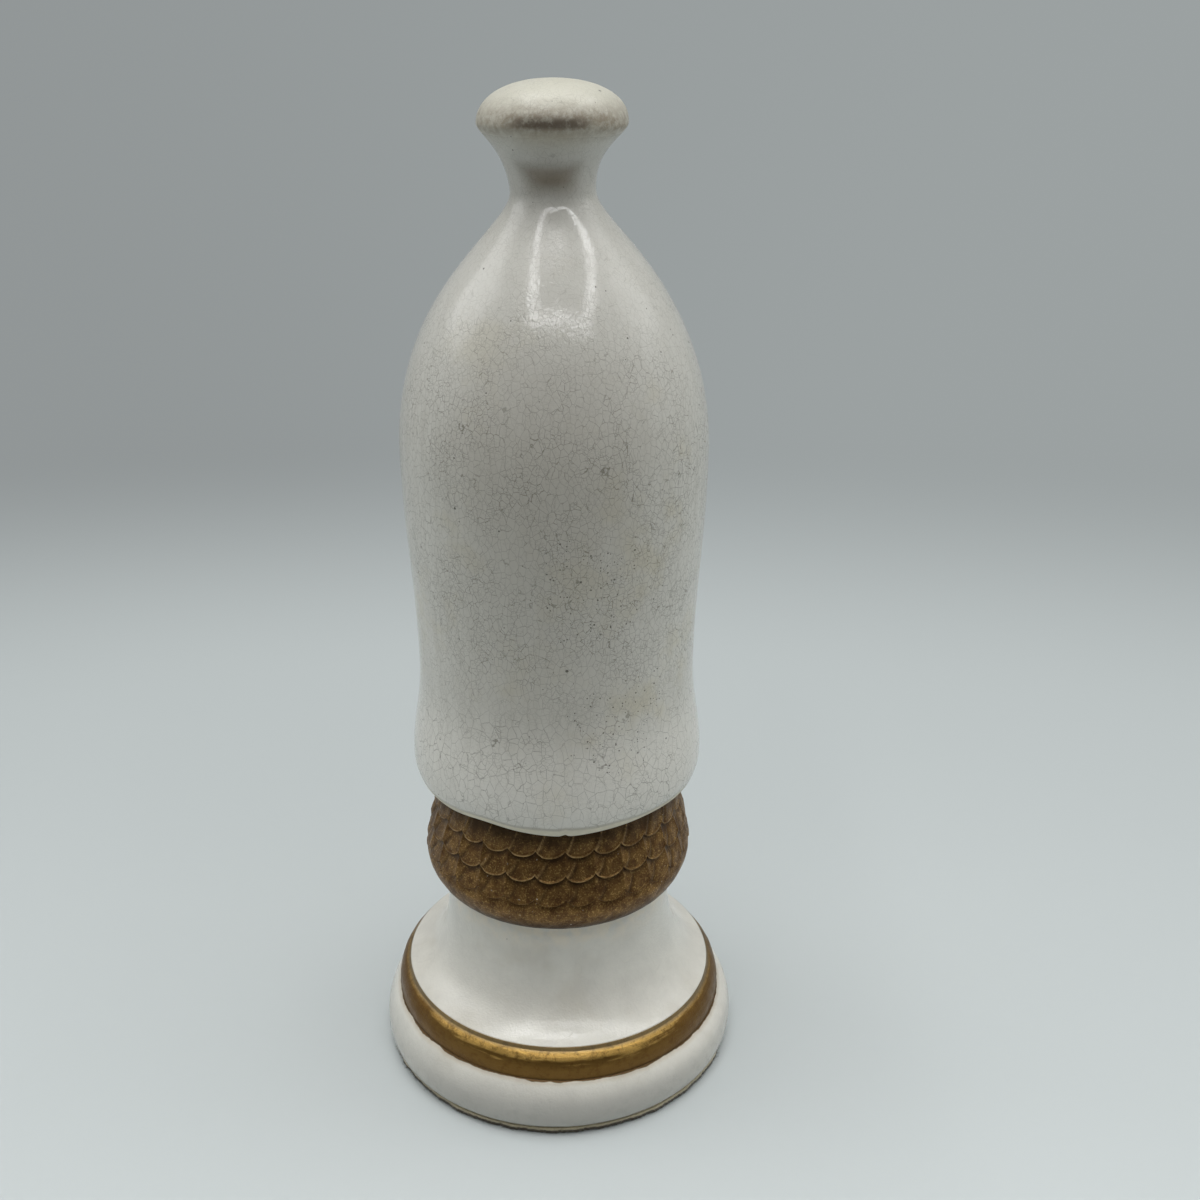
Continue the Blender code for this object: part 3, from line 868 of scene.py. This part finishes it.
def use_group(group, place, **values):
    """Place a group in a material with its own values, each a number or a wired output."""
    return put("Group", {"Position": place, **values}, node_tree=group).outputs


print("finish helpers ready")

# %% [markdown]
# Crazing is the net of hairlines that opens when a glaze shrinks more than its clay. Borders of Voronoi
# cells draw it, hardly bent, because such cracks run straight, with a finer net in some cells. A painted
# texture would show its seams on a turned form.

# %% Crazing
BEND = 0.35
WIDE_SHAPE, FINE_SHAPE, FINER = (1.0, 1.0, 0.65), (0.7, 0.7, 1.2), 1.7

crazing, entry, leave = new_group("Crazing", ["Cell", "Line"], ["Crack"])
position = entry["Position"]
density = calc("DIVIDE", 1.0, entry["Cell"])
bend = lumps_of(position, density, 3.0)["Color"]
bend = put("VectorMath", {0: bend, 1: (0.5, 0.5, 0.5)}, operation="SUBTRACT").outputs[0]
bend = put("VectorMath", {0: bend, "Scale": times(entry["Cell"], BEND)}, operation="SCALE").outputs[0]
bent = put("VectorMath", {0: position, 1: bend}, operation="ADD").outputs[0]
wide_net = cells(stretch(bent, WIDE_SHAPE), density, "DISTANCE_TO_EDGE")["Distance"]
finer = times(density, FINER)
fine_net = cells(stretch(bent, FINE_SHAPE), finer, "DISTANCE_TO_EDGE")["Distance"]
patch = fade(lumps_of(position, times(density, 0.12), 3.0)["Fac"], 0.34, 0.62)
gaps = fade(lumps_of(position, times(density, 0.6))["Fac"], 0.36, 0.60)
line = times(entry["Line"], density)
wide_crack = fade(wide_net, 0.0, line, 1.0, 0.0)
wide_crack = times(wide_crack, add_share(0.6, patch, 0.4))
fine_crack = fade(fine_net, 0.0, times(line, 1.5), 1.0, 0.0)
fine_crack = times(fine_crack, gaps, add_share(0.2, patch, 0.7))
feed(leave, Crack=most(wide_crack, fine_crack))
print("group Crazing:", len(crazing.nodes), "nodes")

# %% [markdown]
# Flecks are stains, and pinholes where gas broke through the molten glaze. Each Voronoi cell holds one hole
# or none: its random colour decides that, and the size.

# %% Flecks
HOLE_LEAST, HOLE_MORE = 0.045, 0.10
STAIN_SIZE = 17

flecks, entry, leave = new_group("Flecks", ["Spacing", "Share", "Size"], ["Pinhole", "Stain"])
spots = cells(entry["Position"], calc("DIVIDE", 1.0, entry["Spacing"]), "F1")
throw = put("SeparateColor", {"Color": spots["Color"]}).outputs
size = add_share(HOLE_LEAST, calc("POWER", throw["Red"], 3.0), HOLE_MORE)
size = times(size, entry["Size"])
hole = fade(calc("DIVIDE", spots["Distance"], size), 0.6, 1.0, 1.0, 0.0)
hole = times(hole, calc("LESS_THAN", throw["Green"], entry["Share"]))
stain = fade(speckle(entry["Position"], STAIN_SIZE, 4.0, 0.6), 0.51, 0.72)
feed(leave, Pinhole=hole, Stain=stain)
print("group Flecks:", len(flecks.nodes), "nodes")

# %% [markdown]
# A fired glaze has an orange peel of swells, dimples and grain, which breaks reflections into sparkles.
# Gilding is gold powder rubbed over a dark ground, mottled and grainy. Both are sums of plain noises.

# %% Orange peel
DIMPLE_SIZE, GRAIN_SIZE = 0.75, 0.38

orange_peel, entry, leave = new_group("Orange peel", ["Swell", "Lift", "Grain"], ["Height"])
position = entry["Position"]
swell = lumps_of(position, calc("DIVIDE", 1.0, entry["Swell"]))["Fac"]
peel = add_share(speckle(position, DIMPLE_SIZE, 1.5), swell, entry["Lift"])
peel = add_share(peel, speckle(position, GRAIN_SIZE, 1.0), entry["Grain"])
feed(leave, Height=peel)
print("group Orange peel:", len(orange_peel.nodes), "nodes")

# %% Gilding
gilding, entry, leave = new_group("Gilding", ["Patch", "Grain"], ["Rub", "Dust"])
position = entry["Position"]
mottle = lumps_of(position, calc("DIVIDE", 1.0, entry["Patch"]), 5.0, 0.65)["Fac"]
dust = lumps_of(position, calc("DIVIDE", 1.0, entry["Grain"]), 2.0, 0.6)["Fac"]
feed(leave, Rub=fade(mottle, 0.34, 0.68), Dust=dust)
print("group Gilding:", len(gilding.nodes), "nodes")

# %% [markdown]
# ## Crazed white glaze
# The bell's glaze is a warm, glossy white that ran while it was molten, so it has upright streaks. Painted
# light makes it whiter at the lip, standing in for light bounced up from the floor; painted shade greys the
# dome and darkens the front. Object coordinates place it all, so nothing has to be unwrapped.

# %% Bell glaze tone
GLAZE, GLAZE_STREAK, GLAZE_CLOUD = (0.70, 0.682, 0.622), (0.63, 0.609, 0.548), (0.62, 0.602, 0.542)
YELLOW_STAIN, LIP_BOUNCE_LIGHT = (0.61, 0.56, 0.42), (0.80, 0.775, 0.71)
FRONT_PAINTED_SHADE, DOME_PAINTED_SHADE = (0.54, 0.512, 0.445), (0.58, 0.565, 0.515)

bell_glaze, tree, shader, place = new_finish("crazed_white_glaze", Specular_IOR_Level=0.56, IOR=1.5)
back, high = in_mm(place)
fleck = use_group(flecks, place, Spacing=2.8 * MM, Share=0.5, Size=0.9)
streak = speckle(stretch(place, (1.0, 1.0, 0.12)), 2.0, 4.0, 0.6)
cloud = speckle(place, 9, 4.0, 0.6)
colour = coats(
    GLAZE,
    (fade(streak, 0.3, 0.75), GLAZE_STREAK),
    (fade(cloud, 0.45, 0.7, 0.0, 0.4), GLAZE_CLOUD),
    (times(fleck["Stain"], 0.72), YELLOW_STAIN),
    # painted light: whiter near the lip, standing in for light bounced up from the floor
    (fade(high, 78, 90, 0.55, 0.0), LIP_BOUNCE_LIGHT),
)
# painted shade: the front of the bell is darkened above the lip
backdrop_glow_and_front_shade = fade(back, -31, -17, 0.65, 0.0)
colour = tint(times(backdrop_glow_and_front_shade, fade(high, 80, 94)), colour, FRONT_PAINTED_SHADE)
# painted shade: the dome is greyed to tone down how bright the lamps leave it
colour = tint(fade(high, 138, 162, 0.0, 0.6), colour, DOME_PAINTED_SHADE)
print("bell glaze tone:", len(tree.nodes), "nodes")

# %% [markdown]
# Hands have left dirt round the knob. Along its widest line a dark band at the front is partly grime and
# partly painted shade under the rim, with a tan tint below it, and the throat is darkened at the front by
# dirt and painted shade. A Pointiness value could find such places, but needs a very dense mesh. Here each
# has a zone of heights, broken up by noise.

# %% Dirt and painted shade on the knob
KNOB_CREAM, DIRT, GRIME_AND_SHADE = (0.58, 0.555, 0.44), (0.27, 0.20, 0.125), (0.09, 0.066, 0.044)
BELOW_KNOB_TAN, THROAT_DIRT_AND_SHADE = (0.46, 0.40, 0.29), (0.25, 0.20, 0.135)
DIRT_ZONE = (190.5, 194.6), (195.6, 199.6)
GRIME_AND_SHADE_ZONE = (193.8, 194.8), (195.3, 196.8)
BELOW_ZONE = (186, 190), (193, 194.6)
THROAT_ZONE = (182, 185.5), (186.5, 189.5)

smudge = speckle(place, 1.3, 4.0, 0.7)
knob_front = fade(back, -13.2, -10.4, 1.0, 0.0)
throat_front = fade(back, -8.2, -5.5, 1.0, 0.0)
dirt = times(zone(high, *DIRT_ZONE), fade(smudge, 0.34, 0.62, 0.25, 1.0))
dirt = times(dirt, fade(cloud, 0.35, 0.6, 0.6, 1.0))
grime_and_shade = times(zone(high, *GRIME_AND_SHADE_ZONE), fade(smudge, 0.30, 0.55, 0.6, 1.0))
colour = coats(
    colour,
    (fade(high, 189, 195, 0.0, 0.60), KNOB_CREAM),
    (times(dirt, 0.72), DIRT),
    # partly grime, partly painted shade: a dark band under the knob's rim, only at the front
    (times(grime_and_shade, knob_front, 0.85), GRIME_AND_SHADE),
    # a tan tint below the knob's widest line, only at the front
    (times(zone(high, *BELOW_ZONE), knob_front, 0.35), BELOW_KNOB_TAN),
    # partly dirt, partly painted shade: the throat under the knob is darkened at the front
    (times(zone(high, *THROAT_ZONE), throat_front, 0.80), THROAT_DIRT_AND_SHADE),
)
print("bell glaze with dirt:", len(tree.nodes), "nodes")

# %% [markdown]
# The hairlines have taken up dirt. Near the lip their net is wider. Pinholes lie all over, with two swarms
# of pits at the front. At the lip the glaze ends in a dark line, with bare clay below, where the mesh's mask
# says so.

# %% Cracks, pits and bare clay
CRACK, PIT, GLAZE_END = (0.18, 0.16, 0.12), (0.09, 0.08, 0.065), (0.30, 0.27, 0.21)
CLAY_DARK, CLAY_PALE = (0.66, 0.61, 0.48), (0.80, 0.76, 0.63)
SWARMS = (0.013, -0.025, 0.089), (0.008, -0.027, 0.117)

near_lip = fade(high, 88, 97, 1.0, 0.0)
wide_crack = use_group(crazing, place, Cell=1.7 * MM, Line=0.05 * MM)["Crack"]
crack = use_group(crazing, place, Cell=1.1 * MM, Line=0.042 * MM)["Crack"]
crack = times(crack, add_share(1.0, near_lip, -0.85))
crack = most(crack, times(wide_crack, near_lip, 0.9))
colour = tint(times(crack, fade(high, 150, 174, 0.80, 0.30)), colour, CRACK)
swarm_off = [put("VectorMath", {0: place, 1: middle}, operation="DISTANCE") for middle in SWARMS]
swarm_off = calc("MINIMUM", *[node.outputs["Value"] for node in swarm_off])
swarm = fade(swarm_off, 5 * MM, 14 * MM, 0.8, 0.012)
pits = use_group(flecks, place, Spacing=0.6 * MM, Share=swarm, Size=2.7)
holes = most(fleck["Pinhole"], pits["Pinhole"])
colour = tint(times(holes, 0.85), colour, PIT)
clay = mask_of(tree, "bare_clay")
colour = tint(clay, colour, tint(speckle(place, 1.0, 3.0), CLAY_DARK, CLAY_PALE))
colour = tint(times(clay, calc("SUBTRACT", 1.0, clay), 2.2), colour, GLAZE_END)
feed(shader, Base_Color=colour)
print("bell glaze colour:", len(tree.nodes), "nodes")

# %% [markdown]
# Clay, dirt and the handled knob are dull. The relief is the orange peel, less the cracks and the holes. As
# geometry it would take millions of faces, so a Bump node only tilts the light.

# %% Bell glaze gloss
PEEL_DEPTH = 0.032 * MM

rough = fade(speckle(place, 5, 4.0, 0.6), 0.3, 0.75, 0.045, 0.10)
knob_rough = fade(high, 188, 195, 0.0, 0.36)
rough = most(rough, times(clay, 0.9), times(dirt, 0.6), knob_rough)
feed(shader, Roughness=rough)
grain = fade(high, 155, 172, 0.9, 0.5)
relief = use_group(orange_peel, place, Swell=4.5 * MM, Lift=1.0, Grain=grain)["Height"]
relief = add_share(relief, crack, -0.25)
relief = add_share(relief, holes, -1.2)
raise_skin(shader, relief, PEEL_DEPTH)
dress(bell_glaze, bell)

# %% [markdown]
# ## Smooth white glaze
# The foot came from another batch: whiter, smoother and hardly crazed, with scuffs low on the plinth and a
# warm smear of gilding under the collar, which is also painted light that lifts the neck out of the collar's
# shadow. Painted shade greys the lower plinth, most at the front. The bell's groups serve again, with other
# values.

# %% Foot glaze tone
FOOT_WHITE, FOOT_CLOUD = (0.775, 0.75, 0.675), (0.70, 0.675, 0.61)
FOOT_STAIN, FOOT_CRACK, FOOT_PIT = (0.58, 0.52, 0.40), (0.25, 0.23, 0.20), (0.12, 0.10, 0.085)
SCUFF, LOW_PAINTED_SHADE, SMEAR_AND_LIGHT = (0.40, 0.385, 0.35), (0.44, 0.422, 0.385), (0.86, 0.76, 0.60)

foot_glaze, tree, shader, place = new_finish("smooth_white_glaze", Specular_IOR_Level=0.5, IOR=1.5)
back, high = in_mm(place)
crack = use_group(crazing, place, Cell=4.6 * MM, Line=0.05 * MM)["Crack"]
fleck = use_group(flecks, place, Spacing=5.5 * MM, Share=0.22, Size=0.55)
low = mask_of(tree, "low_foot")
scuff = fade(speckle(place, 2.2, 5.0, 0.7), 0.46, 0.68)
shaded = fade(back, -37, -18, 1.2, 0.7)
smear_and_light = fade(speckle(place, 2.5, 3.0), 0.25, 0.7)
colour = coats(
    FOOT_WHITE,
    (fade(speckle(place, 8, 4.0, 0.6), 0.3, 0.75), FOOT_CLOUD),
    (times(fleck["Stain"], 0.25), FOOT_STAIN),
    (times(crack, 0.10), FOOT_CRACK),
    (times(scuff, fade(low, 0.0, 0.9, 0.05, 0.50)), SCUFF),
    # painted shade: the lower plinth is greyed, most at the front
    (times(shaded, fade(low, -0.20, 0.5, 0.0, 0.68)), LOW_PAINTED_SHADE),
)
# partly a warm smear of gilding, partly painted light that lifts the neck out of the collar's shadow
smear_and_light = times(smear_and_light, fade(high, 34.0, 40.0, 0.0, 0.75))
colour = tint(smear_and_light, colour, SMEAR_AND_LIGHT)
colour = tint(times(fleck["Pinhole"], 0.8), colour, FOOT_PIT)
print("foot glaze tone:", len(tree.nodes), "nodes")

# %% [markdown]
# Gold crept over the bead's lower edge. It ends in a wavy line, so the distance from the bead, which the
# mesh carries, is shifted by slow noise before it is cut off.

# %% Stray gold and gloss
STRAY_HAZE, STRAY_GOLD = (0.45, 0.36, 0.24), (0.11, 0.060, 0.018)
UNDER_BEAD = (14, 16)
FOOT_PEEL_DEPTH = 0.055 * MM

creep = calc("MULTIPLY_ADD", speckle(place, 3.5, 2.0), 0.16, -0.08)
creep = calc("ADD", mask_of(tree, "gilt_reach"), creep)
under_bead = fade(high, *UNDER_BEAD, 1.0, 0.0)
gold_edge = times(fade(creep, 0.93, 0.96), under_bead)
colour = tint(times(fade(creep, 0.74, 0.96, 0.0, 0.5), under_bead), colour, STRAY_HAZE)
colour = tint(gold_edge, colour, STRAY_GOLD)
feed(shader, Base_Color=colour, Metallic=times(gold_edge, 0.6))
rough = fade(speckle(place, 5, 4.0, 0.6), 0.3, 0.75, 0.10, 0.20)
feed(shader, Roughness=most(rough, times(gold_edge, 0.5)))
relief = use_group(orange_peel, place, Swell=4 * MM, Lift=0.6, Grain=0.7)["Height"]
raise_skin(shader, add_share(relief, fleck["Pinhole"], -1.2), FOOT_PEEL_DEPTH)
dress(foot_glaze, foot)

# %% [markdown]
# ## Antique gilding on the collar
# The collar was painted dark brown, then brushed with bronze powder that caught on the raised parts. A
# picture of gold would not know where these are, so the mesh's masks steer the colour: tan gold on the rims,
# nearly black under them, partly dark ground in the hollows and partly painted shadow under the rims, under
# the bell's lip and at the collar's foot. Pale specks show where the paint has gone.

# %% Collar gilt
DARK_BRONZE, BRONZE, POWDER = (0.098, 0.045, 0.013), (0.225, 0.121, 0.037), (0.54, 0.345, 0.115)
DEEP_BROWN_AND_SHADOW, RUBBED, CHIPPED = (0.040, 0.021, 0.008), (0.50, 0.325, 0.14), (0.60, 0.56, 0.50)
GILT_DEPTH, GILT_STRENGTH = 0.06 * MM, 0.8

collar_gilt, tree, shader, place = new_finish("antique_gilt", Specular_IOR_Level=0.4)
gilt = use_group(gilding, place, Patch=2.4 * MM, Grain=0.32 * MM)
grains = times(fade(gilt["Dust"], 0.54, 0.66), fade(gilt["Rub"], 0.0, 0.8, 0.35, 0.9))
patches = speckle(place, 5, 2.0)
worn = fade(speckle(place, 0.8, 3.0, 0.65), 0.36, 0.60, 0.30, 1.0)
worn = times(worn, fade(patches, 0.36, 0.60, 0.35, 1.0))
chip = fade(speckle(place, 0.6, 2.0), 0.70, 0.76)
chip = times(chip, fade(patches, 0.54, 0.60))
colour = coats(
    DARK_BRONZE,
    (gilt["Rub"], BRONZE),
    (times(grains, 0.8), POWDER),
    # partly dark ground in the hollows, partly painted shadow under the rims, the lip and at the foot
    (times(mask_of(tree, "hollow_and_shadow"), 0.8), DEEP_BROWN_AND_SHADOW),
    (times(fade(mask_of(tree, "ridge"), 0.30, 0.85), worn, 0.85), RUBBED),
    (chip, CHIPPED),
)
feed(shader, Base_Color=colour, Metallic=add_share(0.7, chip, -0.65))
feed(shader, Roughness=fade(gilt["Rub"], 0.0, 1.0, 0.50, 0.38))
raise_skin(shader, add_share(gilt["Dust"], gilt["Rub"], 1.2), GILT_DEPTH, GILT_STRENGTH)
dress(collar_gilt, collar)

# %% [markdown]
# ## Brushed gilding on the bead
# The same gilding, brighter and drawn out by the brush: its noise is many times finer across the band than
# round it. A painted highlight makes it brightest at the front, and painted shade lets more brown ground show
# at the sides and darkens it under the upper edge. Towards the lower edge it thins out and the brown ground
# shows.

# %% Bead gilt
DULL_GOLD, GOLD, GOLD_DUST = (0.28, 0.160, 0.038), (0.55, 0.335, 0.085), (0.66, 0.45, 0.17)
FRONT_GOLD_HIGHLIGHT, BLOTCH, GROUND = (0.80, 0.49, 0.13), (0.14, 0.070, 0.015), (0.125, 0.058, 0.010)
LOW_EDGE, QUIRK_SHADE = (0.10, 0.055, 0.018), (0.19, 0.145, 0.085)
STREAKS_ROUND, STREAKS_ACROSS = 110.0, 7.0

bead_gilt, tree, shader, place = new_finish("bright_gilt", Specular_IOR_Level=0.5)
gilt = use_group(gilding, place, Patch=3.2 * MM, Grain=0.32 * MM)
across_band = mask_of(tree, "section")
round_band = axes(stretch(place, (STREAKS_ROUND, STREAKS_ROUND, 0.0)))
brush = {"X": round_band["X"], "Y": round_band["Y"], "Z": times(across_band, STREAKS_ACROSS)}
bristle = lumps_of(put("CombineXYZ", brush).outputs[0], 1.0, 4.0, 0.65)["Fac"]
at_side = fade(in_mm(place)[0], -31, -18)
thin_gilt_and_side_shade = add_share(across_band, calc("SUBTRACT", bristle, 0.5), 0.8)
# painted shade: more brown ground shows at the sides
thin_gilt_and_side_shade = add_share(thin_gilt_and_side_shade, at_side, 0.24)
blotch = fade(speckle(place, 1.4, 4.0, 0.7), 0.48, 0.66, 0.0, 0.65)
colour = coats(
    DULL_GOLD,
    (fade(bristle, 0.34, 0.66), GOLD),
    (fade(gilt["Dust"], 0.5, 0.7, 0.0, 0.5), GOLD_DUST),
    # painted highlight: brighter gold at the front
    (add_share(0.5, at_side, -0.5), FRONT_GOLD_HIGHLIGHT),
    (blotch, BLOTCH),
    (fade(thin_gilt_and_side_shade, 0.32, 0.54, 0.0, 0.88), GROUND),
    (fade(across_band, 0.90, 1.0, 0.0, 0.6), LOW_EDGE),
    # painted shade: darker under the upper edge, in the quirk
    (fade(across_band, 0.10, 0.24, 0.75, 0.0), QUIRK_SHADE),
)
feed(shader, Base_Color=colour, Metallic=fade(thin_gilt_and_side_shade, 0.30, 0.60, 0.70, 0.82))
feed(shader, Roughness=fade(gilt["Rub"], 0.0, 1.0, 0.45, 0.32))
relief = add_share(times(gilt["Dust"], 1.3), bristle, 0.8)
raise_skin(shader, relief, GILT_DEPTH, GILT_STRENGTH)
dress(bead_gilt, bead)

# %% [markdown]
# ## Felt and plaster
# Wool felt has no weave: its fibres lie every way, so two noises, one drawn out, give a matted surface,
# darker
# below: partly soiled by the board, partly a painted contact shadow. The plaster weight is hidden, keeps its
# CAD mesh and gets a chalky finish.

# %% Felt finish
FELT_DARK, FELT_PALE, FELT_SOIL_AND_SHADOW = (0.46, 0.395, 0.255), (0.66, 0.58, 0.41), (0.045, 0.037, 0.025)
FELT_DEPTH, FELT_STRENGTH = 0.2 * MM, 0.9

wool, tree, shader, place = new_finish(
    "cream_felt", Roughness=0.95, Specular_IOR_Level=0.2, Sheen_Weight=0.35)
flat_mat = speckle(stretch(place, (1.0, 1.0, 3.0)), 0.5, 5.0, 0.7)
long_mat = speckle(stretch(place, (0.3, 1.0, 1.0)), 0.35, 4.0, 0.7)
matted = times(calc("ADD", flat_mat, long_mat), 0.5)
# partly soil from the board, partly a painted contact shadow: the lower part of the felt is near black
soil_and_shadow = fade(in_mm(place)[1], 0.70, 1.10, 0.95, 0.05)
colour = tint(fade(matted, 0.3, 0.7), FELT_DARK, FELT_PALE)
feed(shader, Base_Color=tint(soil_and_shadow, colour, FELT_SOIL_AND_SHADOW))
raise_skin(shader, matted, FELT_DEPTH, FELT_STRENGTH)
dress(wool, felt, fibres)

# %% Plaster finish
PLASTER_DARK, PLASTER_PALE = (0.62, 0.60, 0.55), (0.74, 0.72, 0.67)
PORE_DEPTH, PORE_STRENGTH = 0.1 * MM, 0.4

chalk, tree, shader, place = new_finish("cast_plaster", Roughness=0.9)
pores = speckle(place, 1.2, 4.0, 0.6)
feed(shader, Base_Color=tint(pores, PLASTER_DARK, PLASTER_PALE))
raise_skin(shader, pores, PORE_DEPTH, PORE_STRENGTH)
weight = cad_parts["plaster_weight"]
weight.data.materials.clear()
dress(chalk, weight)
